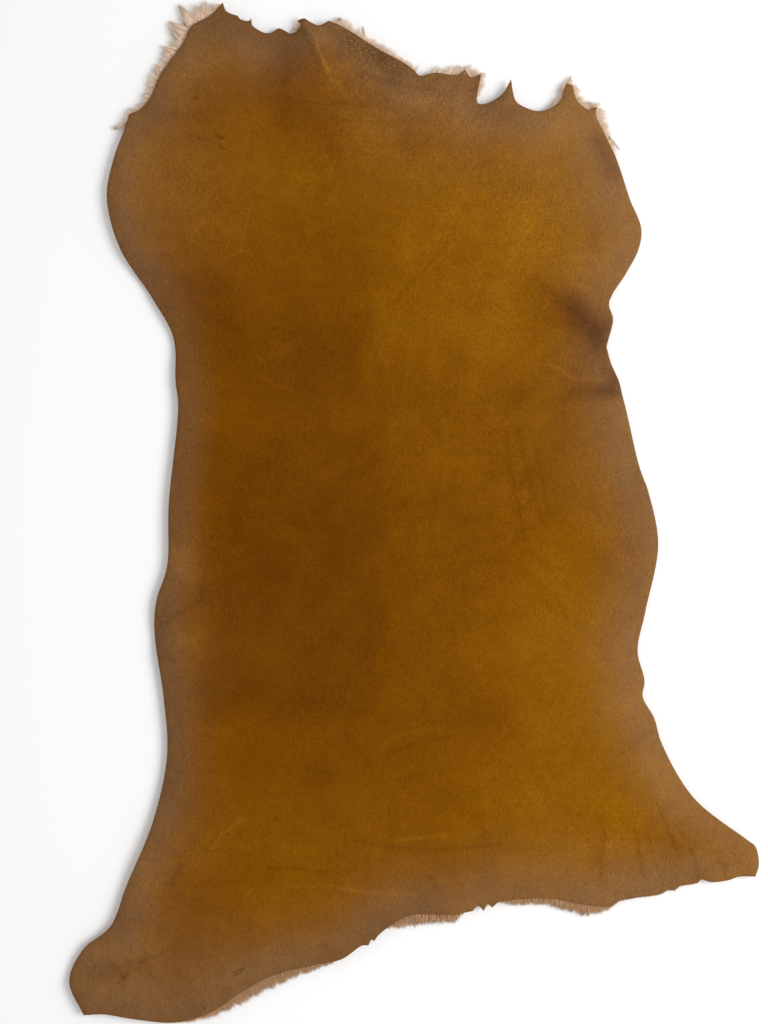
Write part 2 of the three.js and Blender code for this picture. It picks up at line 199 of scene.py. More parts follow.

# Small marks in the suede, and lines of painted highlight and painted shade: points that each one runs
# through, width, how dark, or light below 0
MARKS_AND_PAINTED_LIGHT = [
    # painted highlight along the crest of the neck ridge, and painted light on its left slope, where the key
    # light leaves shade
    ([(-125, 1162), (-115, 1144), (-110, 1129), (-105, 1116), (-99, 1103)], 3.5, -0.25),
    ([(-132, 1160), (-123, 1142), (-117, 1126), (-110, 1105), (-103, 1085)], 9, -0.22),
    # cracks in the right hind leg
    ([(216, 237), (222, 219), (217, 190), (216, 167)], 1.1, 0.12),
    ([(219, 236), (225, 219), (220, 190), (219, 167)], 1.1, -0.1),
    ([(239, 188), (236, 172), (240, 161)], 1.1, 0.14),
    ([(256, 225), (260, 208), (258, 190), (266, 173)], 1.1, 0.12),
    ([(271, 223), (277, 205), (280, 190), (285, 173), (290, 159)], 1.2, 0.2),
    ([(274, 223), (280, 205), (283, 190), (288, 173)], 1.1, -0.12),
    ([(282, 258), (288, 240), (297, 219), (304, 202)], 1.3, 0.16),
    ([(285, 258), (291, 240), (300, 219)], 1.1, -0.1), ([(300, 190), (308, 180), (305, 168)], 1.1, 0.14),
    ([(320, 202), (327, 188), (325, 178), (329, 167)], 1.2, 0.2), ([(338, 188), (339, 176)], 1, 0.16),
    ([(346, 186), (348, 172)], 1, 0.1), ([(361, 184), (360, 176), (362, 170)], 1, 0.16),
    # left hem
    ([(-209, 55), (-203, 58), (-197, 65), (-204, 62), (-208, 60)], 1.5, 0.42),
    # left hock
    ([(-338, 56), (-335, 51)], 1.7, 0.5), ([(-343, 48), (-336, 42)], 1.4, 0.28),
    ([(-316, 71), (-285, 88), (-252, 103)], 3, 0.07), ([(-345, 44), (-330, 30), (-312, 26)], 1.6, 0.06),
    ([(-352, 38), (-335, 22), (-315, 18)], 1.6, 0.06), ([(-248, 22), (-247, 21)], 1.7, 0.3),
    ([(-244, 18), (-243, 17)], 1.8, 0.5), ([(-335, 55), (-333, 56)], 2, 0.35),
    ([(-320, 71), (-292, 81)], 3, 0.12),
    # left shoulder
    ([(-251, 1028), (-242, 1025)], 1.6, 0.3), ([(-229, 1030), (-224, 1027), (-220, 1029)], 2, 0.42),
    ([(-226, 1021), (-222, 1017), (-219, 1013)], 1.6, 0.38), ([(-254, 1074), (-252, 1073)], 1.8, 0.3),
    ([(-325, 1008), (-324, 1008)], 1.6, 0.4),
    # withers
    ([(61, 953), (36, 904), (1, 863), (-28, 834)], 1.4, 0.03),
    # left hip
    ([(-162, 237), (-158, 237)], 2.6, 0.35), ([(-168, 180), (-158, 179)], 1.6, 0.2),
    # rump
    ([(9, 189), (13, 186)], 1.5, 0.25), ([(18, 171), (21, 169)], 2, 0.25),
    # painted shade in the right armpit's trough
    ([(178, 838), (212, 806)], 15, 0.14),
    # hole in the neck tab
    ([(58.6, 1104), (59.4, 1104)], 1, -0.9),
]

# Soft patches of lighter or darker tone, some of them painted shade and painted highlight: middle (x, y),
# half size (x, y), softness, change of tone, and by how many degrees it is turned, or 0 if left out
PATCHES_WITH_PAINTED_LIGHT = [
    # neck
    # painted shadow in the trough beside the neck ridge: (-148, 1100), (-150, 1050) and its tail (-112,
    # 1040); painted highlight on the ridge's right side, which faces the key light: (-92, 1128) and (-106,
    # 1148)
    (-165, 1010, 120, 60, 60, 0.1), (-230, 1120, 20, 40, 30, 0.1, -30), (-148, 1100, 8, 50, 26, -0.26, 4),
    (-150, 1050, 12, 40, 30, -0.1, 8), (-112, 1040, 6, 30, 16, -0.15, 30),
    (-92, 1128, 12, 28, 18, 0.2, 25), (-22, 1108, 10, 8, 16, -0.14), (2, 1065, 12, 12, 18, 0.12),
    (-202, 1125, 10, 20, 18, 0.08), (225, 1010, 6, 22, 22, -0.42, 18), (175, 1043, 6, 20, 20, 0.12),
    (-255, 1110, 20, 40, 30, 0.16, -35), (0, 1060, 60, 20, 36, 0.2), (-34, 1110, 20, 20, 30, 0.14),
    (76, 1094, 4, 6, 12, -0.4), (-106, 1148, 5, 12, 14, 0.2), (-72, 1142, 12, 6, 14, 0.3, -30),
    (-50, 1110, 20, 12, 22, 0.16, -30), (-334, 1036, 4, 20, 16, 0.2, -20), (188, 1039, 16, 12, 26, 0.16),
    (112, 1086, 4, 8, 12, 0.25), (-110, 1005, 14, 10, 20, -0.1), (-186, 1120, 14, 16, 20, 0.12),
    # shoulders and withers
    (-330, 960, 30, 60, 40, 0.14), (-40, 979, 45, 5, 18, -0.1, -10), (-277, 996, 15, 12, 20, -0.08),
    (-237, 933, 22, 14, 22, 0.08), (-260, 863, 8, 8, 18, -0.14), (60, 900, 110, 130, 60, 0.22),
    (48, 875, 6, 14, 20, -0.14), (215, 905, 30, 40, 40, 0.14), (129, 979, 8, 10, 18, -0.12),
    # painted shade in the right armpit's trough: (165, 840); painted highlight on the lit side of the ridge
    # beside it: (196, 856)
    (210, 909, 4, 15, 14, -0.12), (165, 840, 30, 6, 24, -0.3, -38), (196, 856, 26, 1, 8, 0.2, -48),
    (-200, 960, 100, 60, 60, 0.08), (-300, 990, 30, 50, 40, 0.1), (76, 838, 14, 24, 20, -0.12, -10),
    (-262, 840, 40, 30, 34, -0.12),
    # armpits and waist
    (-160, 790, 75, 50, 45, -0.17), (-202, 788, 25, 5, 16, -0.08), (-153, 781, 9, 5, 10, 0.16),
    # painted shade in the right armpit's trough: (203, 806) and (221, 797); in the right flank's trough:
    # (205, 738) and (232, 745)
    (-70, 770, 18, 50, 26, -0.18), (-5, 706, 10, 16, 18, 0.1), (203, 806, 24, 12, 22, -0.34, -40),
    (221, 797, 8, 12, 16, -0.34), (205, 738, 24, 10, 16, -0.2, -10), (232, 745, 12, 12, 18, -0.25),
    (165, 810, 60, 50, 60, -0.2), (200, 790, 30, 40, 50, -0.16), (-155, 724, 30, 30, 40, -0.14),
    (-250, 800, 30, 30, 36, -0.1), (-132, 706, 30, 20, 34, -0.13), (-92, 776, 30, 20, 34, -0.15),
    (164, 793, 14, 10, 16, 0.1), (123, 730, 10, 8, 16, -0.16), (200, 727, 28, 2, 9, -0.2),
    # back and flanks
    (-140, 520, 104, 165, 18, -0.17), (-155, 560, 70, 70, 60, -0.14), (-208, 573, 10, 14, 18, -0.1),
    (-271, 538, 10, 16, 14, 0.22), (-248, 498, 8, 12, 12, -0.12), (-266, 445, 14, 10, 16, 0.18),
    (40, 470, 60, 140, 50, -0.08), (158, 630, 60, 90, 60, -0.16), (80, 556, 20, 40, 36, -0.14),
    (158, 492, 3, 24, 10, -0.1, 30), (117, 445, 12, 20, 20, 0.08), (262, 560, 12, 90, 26, -0.14),
    # loin and thighs
    (-120, 380, 50, 70, 50, -0.1), (-179, 387, 20, 12, 20, -0.1), (225, 330, 10, 30, 30, 0.12, 20),
    (262, 350, 30, 100, 50, 0.12, 25), (251, 318, 8, 14, 18, -0.14), (276, 289, 6, 25, 18, 0.18, 30),
    (59, 353, 45, 12, 22, -0.14), (53, 254, 12, 8, 18, -0.08), (-109, 289, 16, 8, 18, -0.14),
    # rump and hind legs
    (305, 184, 30, 8, 24, 0.12), (-35, 146, 20, 8, 26, 0.16), (-72, 128, 20, 8, 26, 0.1),
    (-118, 126, 50, 20, 40, 0.22, 15), (-320, 200, 16, 60, 30, 0.14, -20), (213, 208, 3, 26, 14, -0.18),
    (309, 202, 6, 14, 16, -0.16), (-100, 200, 180, 50, 60, 0.1), (135, 179, 30, 6, 18, 0.12),
    (-92, 97, 30, 8, 18, 0.14, 15), (-277, 161, 6, 14, 16, -0.14), (-310, 130, 20, 60, 30, 0.14, -20),
    # painted shade of a small fold near the left hem: (-222, 42)
    (-340, 50, 50, 40, 30, 0.16), (-341, 63, 26, 6, 18, -0.26, 5), (-222, 42, 3, 28, 8, -0.14, 6),
    (-180, 60, 60, 20, 30, 0.16, 20),
]

# How strong the suede's texture is, and where it is stronger, or weaker below 0: middle, radius, how much
USUAL_GRAIN = 0.67
GRAINS = [
    ((-60, 1110), 60, 0.35),  # right of the neck ridge
    ((60, 1060), 70, 0.35),
    ((100, 880), 110, 0.22),  # right of the withers
    ((130, 620), 90, 0.1),  # right flank
    ((-280, 990), 80, 0.08),  # left shoulder
    ((-150, 250), 90, -0.15),  # left hip
    ((300, 190), 80, 0.1),  # right hind leg
]

# Where the suede is wrinkled finely
WRINKLES = [
    ((-74, 1142), 17, 1.2),  # neck
    ((-53, 1130), 17, 1.4),
    ((-34, 1118), 15, 1),
    ((-15, 1103), 22, 0.35),
    ((-225, 1150), 25, 0.5),
    ((290, 175), 40, 0.3),  # right hem
    ((60, 165), 45, 0.25),  # rump
]

# Where the suede is paler than its distance from the edge makes it, or less pale below 0
PALES = [
    ((-295, 979), 80, 0.2),  # left shoulder
    ((-262, 790), 60, -0.3),  # left armpit
    ((-245, 690), 60, -0.25),  # left flank
    ((-240, 580), 70, -0.25),
    ((-242, 320), 70, -0.15),  # left hip
    ((150, 155), 50, -0.2),  # right hem
    ((205, 800), 70, -0.2),  # right armpit
    ((225, 520), 80, -0.13),  # right flank
    ((225, 380), 80, -0.14),  # right thigh
    ((280, 270), 70, -0.2),
    ((-330, 50), 70, 0.55),  # left hock
    ((-230, 60), 60, 0.3),  # left hem
    ((-200, 1130), 50, 0.3),  # neck
    ((-10, 1080), 80, 0.22),
    ((360, 195), 70, -0.25),  # right hind leg
    ((200, 985), 70, 0.15),  # right shoulder
    ((60, 190), 110, -0.08),  # rump
    ((-150, 130), 90, -0.06),
]

# Colours from 0 to 255: the suede's by its tone, away from its edge and in its pale rim, and the wool's
# from the neck to the rump
INNER_COLOURS = [(0, (96, 52, 3)), (0.45, (120, 70, 3)), (1, (147, 95, 10))]
PALE_COLOURS = [(0, (92, 62, 40)), (0.45, (120, 84, 50)), (1, (148, 106, 62))]
WOOL_COLOURS = [(242, 220, 198), (206, 161, 115)]

# The tone of the suede runs from dark on the left to light on the right: partly its own tone and partly
# painted light falling from the right, where the key light stands
TONE = {"left": 0.42, "right": 0.71, "from": -40, "to": 200}
PATCH_WARP = {"size": 70, "shift": 10}
LINE_WAVER = {"size": 7, "shift": 2}
RIM = {"width": 39, "wider_right": 0.02, "power": 2.8}
CREASE_PAINTED_LIGHT = 0.3  # painted light and shade: how much lighter a raised crease is painted, and a sunk one darker, for each millimetre

# The wool. Warmth runs from the cream of the neck to the tan of the rump.
WARMTH = {"from": 1000, "to": 260}
SLAB_SPACING = 4.2
SLAB_INSET = 1.2
SLAB_FRINGE = 0.7  # how much of the fringe the slab reaches under
SLAB_FLOOR = 1.2
SLAB_LOWEST = 0.3
SLAB_THINNEST = 1.5
SLAB_CLEARANCE = 1  # below the roof
SLAB_SINK = {"share": 0.5, "width": 12}  # how the top sinks towards a fringe
SLAB_OUTSIDE = {"share": 0.5, "fall": 0.1}  # and past the edge
SLAB_EDGE = {"width": 9, "share": 0.6, "level": 0.8}  # the underside near the edge
SLAB_UNEVEN = (0.5, 30, 8)  # height, size, seed
SLAB_TOP_VALUE = 0.78
LUMP_VALUE = (0.8, 0.25)  # brightness between the lumps, and how much more on them
LUMP = {"size": 8, "depth": 3.2, "round": (0.1, 0.8)}
FIBRE_SIDES = 3  # so one triangle closes a fibre's root
FIBRE_TIP = 0.25
FIBRE_REACH = 1.3  # a fibre's thin tip doesn't show
# The locks that the skin hides: along the rest of the edge, so many for each millimetre of it, and below
# the wool's body
HIDDEN_STEPS = 4
HIDDEN_VALUE = (0.8, 1.05)
FLOOR_GAP = 0.05
RIM_LOCKS = {
    "density": 1.5, "lean": 0.7, "tips": (-1.6, -0.2), "roots": (3, 8), "levels": (0.2, 0.85),
    "ends": (0.2, 0.8), "lowest": 0.5, "wave": (0.2, 0.7), "turns": 0.8, "radius": (0.5, 0.9),
    "uneven": (-0.1, 0.2),
}
UNDER_LOCKS = {
    "inset": 8, "flow": (4, 90, 12), "reach": (5, 9), "roots": (-2.2, 2.2), "tips": (-1.2, 1.2),
    "rise": (4.5, 6), "ends": (0.5, 1.4), "wave": (0.3, 1), "turns": 0.9, "sag": 1.2,
    "radius": (0.7, 1.2), "uneven": (-0.15, 0.15),
}
# The locks that show start so far inside the edge, at a share of the roof's height, and end lower.
FRINGE_ROOTS = (2, 7)
FRINGE_LEVELS = (0.3, 0.9)
FRINGE_ENDS = (0.35, 0.9)
FRINGE_LOWEST = 0.7
FRINGE_DENSITY = (0.6, 0.05)  # share of the fibres with no fringe, and for each millimetre of it
FRINGE_JITTER = 0.3
# They are pointed tufts around the neck and short plush along the rump.
TUFTS = {
    "low": 600, "high": 1200, "least": 2.5, "spacing": 6, "width": 12, "round": 0.9, "fibres": 100,
    "steps": 4, "ragged": (0.8, 1.3), "lean": 0.45, "tip": (0.5, 1.1), "wave": (0.2, 0.8), "turns": (1, 1.8),
    "radius": (0.22, 0.42), "soft": 0.5, "warm": (0.16, -0.28), "light": (1.08, 0.3),
}
PLUSH = {
    "low": 0, "high": 600, "least": 1, "spacing": 3, "width": 7, "round": 0.4, "fibres": 50,
    "steps": 4, "ragged": (0.85, 1.15), "lean": 0.35, "tip": (0.7, 1.1), "wave": (0.1, 0.5),
    "turns": (0.8, 1.3), "radius": (0.3, 0.48), "soft": 0.65, "warm": (0.12, 0), "light": (1, 0.1),
}
# Thin hairs that stand out between the tufts
HAIRS = {
    "low": 600, "high": 1200, "least": 2.5, "spacing": 4, "width": 8, "round": 0.2, "fibres": 4,
    "steps": 5, "ragged": (0.8, 1.2), "lean": 0.9, "tip": (0.8, 1.6), "wave": (0.8, 2.2), "turns": (0.7, 1.3),
    "radius": (0.1, 0.17), "soft": 0.7, "warm": (0.1, -0.1), "light": (1.2, 0.1),
}
BRIGHTEST = 1.3
PAINTED_SIDE_LIGHT = 0.12  # painted light: the fringe on the left, which the skin shades from the key light, is painted lighter, and the fringe on the right, where the key light falls, darker; the wool on the right is also a little darker and warmer in itself
RIGHT_WARMER = 0.14
UNDER_TUFTS = 2500  # on each half of the wool's underside
TUFT_FIBRES = 3
SEED = 11
DARK_HAIR_RADIUS = 0.22
LOCK_FIBRE_RADIUS = 0.42

# Single locks and hairs: from, to, fibres, width, warmth, brightness
STRAYS = [
    ((-325, 1050), (-350, 1040), 50, 8, 0.15, 1.1),  # below the left shoulder
    ((-250, 1150), (-286, 1166), 30, 6, 0.2, 1.08),  # left neck corner
    ((-246, 1160), (-275, 1184), 26, 6, 0.2, 1.08),
    ((-316, 1061), (-321, 1072), 1, 1, 1, 0.3),  # dark hairs
    ((-309, 1068), (-313, 1076), 1, 1, 1, 0.3),
    ((-303, 1074), (-311, 1081), 1, 1, 1, 0.3),
    ((-291, 1094), (-299, 1102), 1, 1, 1, 0.3),
    ((-296, 1086), (-301, 1090), 1, 1, 1, 0.3),
    ((-281, 1108), (-290, 1114), 1, 1, 1, 0.3),
    ((-271, 1124), (-281, 1135), 1, 1, 1, 0.3),
    ((-262, 1140), (-279, 1152), 1, 1, 1, 0.35),
    ((-258, 1150), (-276, 1175), 1, 1, 1, 0.35),
    ((0, 1107), (6, 1115), 2, 1, 1, 0.3),
    ((-57, 1138), (-60, 1160), 16, 3, 0.6, 0.9),
    ((-85, 1154), (-87, 1170), 60, 8, 0.6, 0.95),
    ((228, 1032), (240, 1015), 8, 3, 0.3, 1),
    ((158, 1066), (166, 1074), 2, 1, 1, 0.3),
]


def smooth(t):
    return t * t * (3 - 2 * t)


def smooth_step(values, low, high):
    return smooth(np.clip((values - low) / (high - low), 0, 1))


def hermite(p0, p1, p2, p3, t):
    """A point between p1 and p2 on the centripetal Catmull-Rom curve through four points."""
    d0, d1, d2 = (math.dist(a, b) ** 0.5 for a, b in ((p0, p1), (p1, p2), (p2, p3)))
    start = ((p1 - p0) / d0 - (p2 - p0) / (d0 + d1) + (p2 - p1) / d1) * d1
    end = ((p2 - p1) / d1 - (p3 - p1) / (d1 + d2) + (p3 - p2) / d2) * d1
    change = p2 - p1
    return p1 + start * t + (3 * change - 2 * start - end) * t**2 + (start + end - 2 * change) * t**3


def trace_outline(step):
    """The cut edge as points and the fringe at each."""
    points, fringes = [], []
    corners = [(*row, *(0, False)[len(row) - 2 :]) for row in OUTLINE]
    sharp = [i for i, row in enumerate(corners) if row[3]]
    for first, last in zip(sharp, sharp[1:] + [sharp[0] + len(corners)]):
        run = [corners[i % len(corners)] for i in range(first, last + 1)]
        knots = [np.array(row[:2], float) for row in run]
        knots = [2 * knots[0] - knots[1], *knots, 2 * knots[-1] - knots[-2]]
        for i, (row, following) in enumerate(zip(run, run[1:])):
            steps = math.ceil(math.dist(row[:2], following[:2]) / step)
            for k in range(steps):
                points.append(hermite(*knots[i : i + 4], k / steps))
                fringes.append(row[2] + (following[2] - row[2]) * k / steps)
    return np.array(points), np.array(fringes)


def outward_of(loop):
    """The direction that points out of a clockwise loop, at each of its points."""
    along = np.roll(loop, -1, axis=0) - np.roll(loop, 1, axis=0)
    out = np.stack([-along[:, 1], along[:, 0]], axis=1)
    return out / np.linalg.norm(out, axis=1, keepdims=True)


def in_chunks(points, work, size=2000):
    """What work gives for the points, a few at a time so that its tables stay small."""
    results = [work(points[i : i + size]) for i in range(0, len(points), size)]
    return [np.concatenate(part) for part in zip(*results)]


def nearest_on(loop, values, points):
    """For each point, its distance to the loop and the loop's value there."""
    ends = np.roll(loop, -1, axis=0)
    along = ends - loop
    length2 = (along**2).sum(axis=1)

    def work(chunk):
        off = chunk[:, None, :] - loop[None]
        share = np.clip((off * along).sum(axis=2) / length2, 0, 1)
        apart = off - share[..., None] * along
        distance2 = (apart**2).sum(axis=2)
        best = distance2.argmin(axis=1)
        return np.sqrt(distance2[np.arange(len(chunk)), best]), values[best]

    return in_chunks(points, work)


def inside(loop, points):
    """Whether each point is inside the loop."""
    ends = np.roll(loop, -1, axis=0)

    def work(chunk):
        x, y = chunk[:, 0:1], chunk[:, 1:2]
        straddles = (loop[:, 1] > y) != (ends[:, 1] > y)
        rise = np.where(ends[:, 1] == loop[:, 1], 1, ends[:, 1] - loop[:, 1])
        crossing = loop[:, 0] + (ends[:, 0] - loop[:, 0]) * (y - loop[:, 1]) / rise
        return ((straddles & (x < crossing)).sum(axis=1) % 2 == 1,)

    return in_chunks(points, work)[0]


def lattice(low, high, spacing):
    """Points in rows of triangles, on one lattice for every box, and the numbers of its rows and columns."""
    rise = spacing * math.sqrt(3) / 2
    rows = np.arange(math.ceil(low[1] / rise), math.floor(high[1] / rise) + 1)
    columns = np.arange(math.ceil(low[0] / spacing), math.floor(high[0] / spacing) + 1)
    row, column = (part.ravel() for part in np.meshgrid(rows, columns, indexing="ij"))
    return np.stack([(column + row % 2 / 2) * spacing, row * rise], axis=1), rows, columns


def line_offset(points, line):
    """The distance of each point from a line through several points."""
    return np.min([segment_offset(points, a, b)[1] for a, b in zip(line, line[1:])], axis=0)


def fill_points(loop, spacing, lines=()):
    """Points inside the loop and clear of it, closer together along the lines."""
    grid, _, _ = lattice(loop.min(axis=0), loop.max(axis=0), spacing)
    fine = []
    for line in lines:
        ends = np.array(line, float)
        low, high = ends.min(axis=0) - DETAIL_REACH, ends.max(axis=0) + DETAIL_REACH
        patch, _, _ = lattice(low, high, DETAIL_SPACING)
        fine.append(patch[line_offset(patch, line) < DETAIL_REACH])
        grid = grid[line_offset(grid, line) > DETAIL_REACH + spacing / 2]
    if fine:
        fine = np.unique(np.concatenate(fine).round(4), axis=0)
    kept = []
    for points, clearance in ((grid, 0.6 * spacing), (fine, DETAIL_SPACING)):
        if len(points):
            points = points[inside(loop, points)]
            distance, _ = nearest_on(loop, np.zeros(len(loop)), points)
            kept.append(points[distance > clearance])
    return np.concatenate(kept)


def fill(loop, inner):
    """Triangles over the loop and the points inside it, facing up."""
    points = np.concatenate([loop, inner])
    border = list(range(len(loop)))
    flat = [Vector(p) for p in points.tolist()]
    made, _, faces, origin, _, _ = delaunay_2d_cdt(flat, [], [border[::-1]], 1, 1e-7)
    order = [ids[0] for ids in origin]
    if len(made) != len(points):
        raise ValueError(f"the outline crosses itself: {len(made)} points for {len(points)}")
    return np.array([[order[i] for i in face] for face in faces])


def segment_offset(points, start, end):
    """How far along a line each point is, from 0 to 1, and its distance from the line."""
    start, end = np.array(start, float), np.array(end, float)
    along = end - start
    share = np.clip((points - start) @ along / (along @ along), 0, 1)
    return share, np.linalg.norm(points - start - share[:, None] * along, axis=1)


def fold_height(points):
    height = np.zeros(len(points))
    for start, end, rise, width in FOLDS:
        share, distance = segment_offset(points, start, end)
        height += rise * (1 - smooth(share)) * np.exp(-FOLD_FALL * (distance / width) ** 2)
    return height


def crease_height(points):
    height = np.zeros(len(points))
    for line, rise, width in CREASES:
        height += rise * np.exp(-FOLD_FALL * (line_offset(points, line) / width) ** 2)
    return height


def wave_height(points):
    x, y = points[:, 0], points[:, 1]
    bend = np.sin(y / WAVES["bend"])
    return WAVES["height"] * np.sin(x / WAVES["across"] + bend) * np.cos(y / WAVES["along"])


def skin_top(points, distance, fringe):
    turn = np.maximum(0, 1 - distance / EDGE_DROOP_WIDTH)
    droop = EDGE_DROOP * turn**2 / (1 + fringe / HOLDING_FRINGE)
    level = PILE_HEIGHT + PIECE_GAP + SKIN_THICKNESS
    return level + fold_height(points) + wave_height(points) - droop


def roof_at(points, distance, fringe):
    """How high the wool may come below the skin."""
    return skin_top(points, distance, fringe) - SKIN_THICKNESS - PIECE_GAP


def noise_at(points, size, seed):
    """Smooth noise from -1 to 1, with bumps of about that size."""
    return np.array([noise.noise(Vector((x / size, y / size, seed))) for x, y in points])


def unsteady(points):
    """The points moved about a little, so that drawn lines waver."""
    shift = [LINE_WAVER["shift"] * noise_at(points, LINE_WAVER["size"], seed) for seed in (7, 9)]
    return points + np.stack(shift, axis=1)


def tone_at(points):
    """The suede's tone, from dark at 0 to light at 1, with painted light and shade in some of its patches and
    along its creases.
    """
    share = smooth_step(points[:, 0], TONE["from"], TONE["to"])
    tone = TONE["left"] + (TONE["right"] - TONE["left"]) * share
    shift = [PATCH_WARP["shift"] * noise_at(points, PATCH_WARP["size"], seed) for seed in (5, 6)]
    moved = points + np.stack(shift, axis=1)
    for x, y, half_x, half_y, softness, change, *turn in PATCHES_WITH_PAINTED_LIGHT:
        angle = math.radians(*turn or [0])
        across = np.array([math.cos(angle), math.sin(angle)])
        up = np.array([-math.sin(angle), math.cos(angle)])
        off = moved - (x, y)
        beyond = np.abs(np.stack([off @ across, off @ up], axis=1)) - (half_x, half_y)
        distance = np.linalg.norm(np.maximum(beyond, 0), axis=1) + np.minimum(beyond.max(axis=1), 0)
        tone += change * (1 - smooth_step(distance, -softness, softness))
    # painted light on raised creases and painted shade in sunk ones
    return tone + CREASE_PAINTED_LIGHT * crease_height(points)


def rim_at(points, distance):
    """How pale the suede is, from 1 at the edge to 0."""
    width = RIM["width"] + RIM["wider_right"] * points[:, 0]
    return np.minimum(1, 1 / (1 + (distance / width) ** RIM["power"]) + zones_at(points, PALES))


def marks_and_painted_light_at(points):
    """What is left of the suede's brightness where it has marks, painted highlights and painted shade."""
    value = np.ones(len(points))
    points = unsteady(points)
    for line, width, dark in MARKS_AND_PAINTED_LIGHT:
        value *= 1 - dark * np.exp(-FOLD_FALL * (line_offset(points, line) / width) ** 2)
    return value


def put_in_scene(name, data):
    thing = bpy.data.objects.new(name, data)
    bpy.context.scene.collection.objects.link(thing)
    return thing


def to_object(name, points, triangles, material, **attributes):
    """A mesh object from points in the tables' millimetres."""
    mesh = bpy.data.meshes.new(name)
    places = (np.asarray(points, float) + ORIGIN) * MM
    mesh.from_pydata(places.tolist(), [], triangles.tolist())
    mesh.polygons.foreach_set("use_smooth", [True] * len(mesh.polygons))
    for key, values in attributes.items():
        mesh.attributes.new(key, "FLOAT", "POINT").data.foreach_set("value", np.asarray(values, np.float32))
    mesh.materials.append(material)
    mesh.validate()
    return put_in_scene(name, mesh)


def add(tree, kind, inputs=None, **settings):
    """A shader node with its settings, and its inputs as values or as another node's output."""
    made = tree.nodes.new(kind)
    for key, value in settings.items():
        setattr(made, key, value)
    for key, value in (inputs or {}).items():
        if isinstance(value, bpy.types.NodeSocket):
            tree.links.new(value, made.inputs[key])
        else:
            made.inputs[key].default_value = value
    return made


def srgb(colour):
    """A colour of 0 to 255 as the shader's linear one."""
    shares = (c / 255 for c in colour)
    return (*(c / 12.92 if c <= 0.04045 else ((c + 0.055) / 1.055) ** 2.4 for c in shares), 1)


def new_material(name):
    material = bpy.data.materials.new(name)
    material.use_nodes = True
    tree = material.node_tree
    tree.nodes.clear()
    shader = add(tree, "ShaderNodeBsdfPrincipled")
    output = add(tree, "ShaderNodeOutputMaterial")
    tree.links.new(shader.outputs["BSDF"], output.inputs["Surface"])
    return material, tree, shader


def noise_node(tree, place, scale, detail):
    inputs = {"Vector": place, "Scale": scale, "Detail": detail, "Roughness": 0.6}
    return add(tree, "ShaderNodeTexNoise", inputs).outputs["Fac"]


def remap(tree, value, low, high, to_low, to_high):
    inputs = {"Value": value, "From Min": low, "From Max": high, "To Min": to_low, "To Max": to_high}
    return add(tree, "ShaderNodeMapRange", inputs).outputs["Result"]


def math_node(tree, operation, *values):
    return add(tree, "ShaderNodeMath", dict(enumerate(values)), operation=operation).outputs["Value"]


def mix_colour(tree, share, first, second, blend="MIX"):
    inputs = {0: share, 6: first, 7: second}
    return add(tree, "ShaderNodeMix", inputs, data_type="RGBA", blend_type=blend).outputs[2]


def grey(tree, value):
    return add(tree, "ShaderNodeCombineColor", {0: value, 1: value, 2: value}).outputs[0]


def attribute(tree, name):
    return add(tree, "ShaderNodeAttribute", attribute_name=name).outputs["Fac"]


def ramp(tree, share, stops):
    """A colour that runs through the stops, each a position and a colour of 0 to 255."""
    made = add(tree, "ShaderNodeValToRGB", {"Fac": share})
    elements = made.color_ramp.elements
    while len(elements) < len(stops):
        elements.new(0.5)
    for element, (position, colour) in zip(elements, stops):
        element.position = position
        element.color = srgb(colour)
    return made.outputs["Color"]


def bump(tree, height, distance, strength):
    inputs = {"Height": height, "Distance": distance, "Strength": strength}
    return add(tree, "ShaderNodeBump", inputs).outputs["Normal"]


def swing(tree, texture, strength, spread, level):
    """The level, moved up and down by a texture."""
    change = math_node(tree, "MULTIPLY", math_node(tree, "SUBTRACT", texture, 0.5), strength)
    return math_node(tree, "MULTIPLY_ADD", change, 2 * spread, level)


